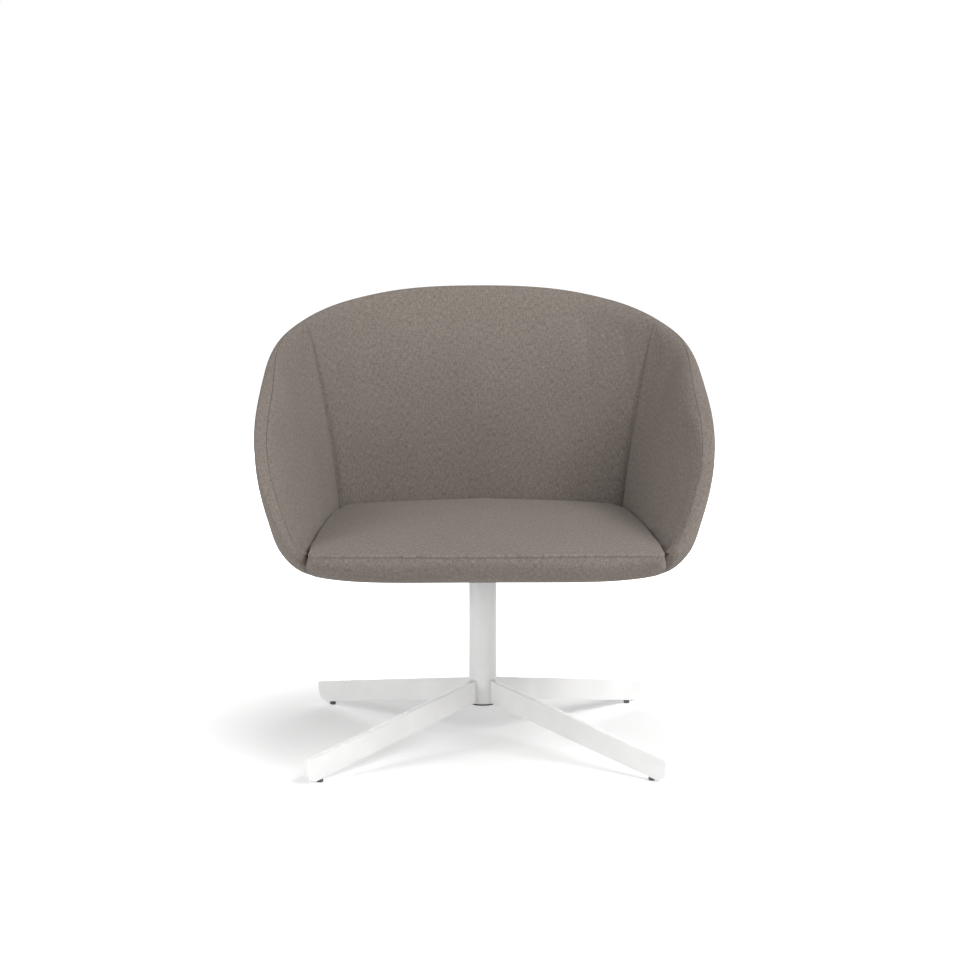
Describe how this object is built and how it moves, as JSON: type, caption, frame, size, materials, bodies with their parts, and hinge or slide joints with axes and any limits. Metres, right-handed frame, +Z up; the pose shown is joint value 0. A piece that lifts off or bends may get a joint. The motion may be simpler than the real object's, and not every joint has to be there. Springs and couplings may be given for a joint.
{
  "type": "pedestal swivel armchair",
  "caption": "Low upholstered bucket armchair with sloping arms and a fixed seat cushion, swivelling on a round column with a star of flat sloping legs and small glides.",
  "frame": {"origin": "on the floor under the column, which is the centre of the box's bottom", "axes": "+Z up along the column, +Y towards the back of the chair, +X to the right when the chair is seen from the front"},
  "size_m": [0.7254, 0.6294, 0.7282],
  "materials": {
    "fabric": "matte woven",
    "white_paint": "satin",
    "glide_plastic": "matte",
    "bush_plastic": "matte",
    "steel": "brushed",
    "plywood": "sanded",
    "moulding": "matte",
    "felt": "felted"
  },
  "bodies": {
    "base": {"column_tube": "white_paint", "column_end_plug": "bush_plastic", "leg_rear_right": "white_paint", "leg_rear_left": "white_paint", "leg_front_left": "white_paint", "leg_front_right": "white_paint", "glide_rear_right": "glide_plastic", "glide_rear_left": "glide_plastic", "glide_front_left": "glide_plastic", "glide_front_right": "glide_plastic", "lower_bush": "bush_plastic", "upper_bush": "bush_plastic", "thrust_race_lower": "steel", "thrust_ball_cage": "steel"},
    "seat": {"thrust_race_upper": "steel", "swivel_spindle": "steel", "retaining_clip": "steel", "retaining_washer": "steel", "seat_mount_plate": "steel", "mount_bolt_rear_right": "steel", "mount_bolt_rear_left": "steel", "mount_bolt_front_left": "steel", "mount_bolt_front_right": "steel", "threaded_insert_rear_right": "steel", "threaded_insert_rear_left": "steel", "threaded_insert_front_left": "steel", "threaded_insert_front_right": "steel", "seat_board": "plywood", "under_cloth": "felt", "moulded_shell": "moulding", "outer_cover": "fabric", "back_pad": "fabric", "arm_pad_right": "fabric", "arm_pad_left": "fabric", "seat_cushion": "fabric"}
  },
  "joints": [
    {"name": "seat_swivel", "type": "hinge", "parent": "base", "child": "seat", "pos_m": [0, 0, 0.27], "axis": [0, 0, 1], "continuous": true}
  ]
}
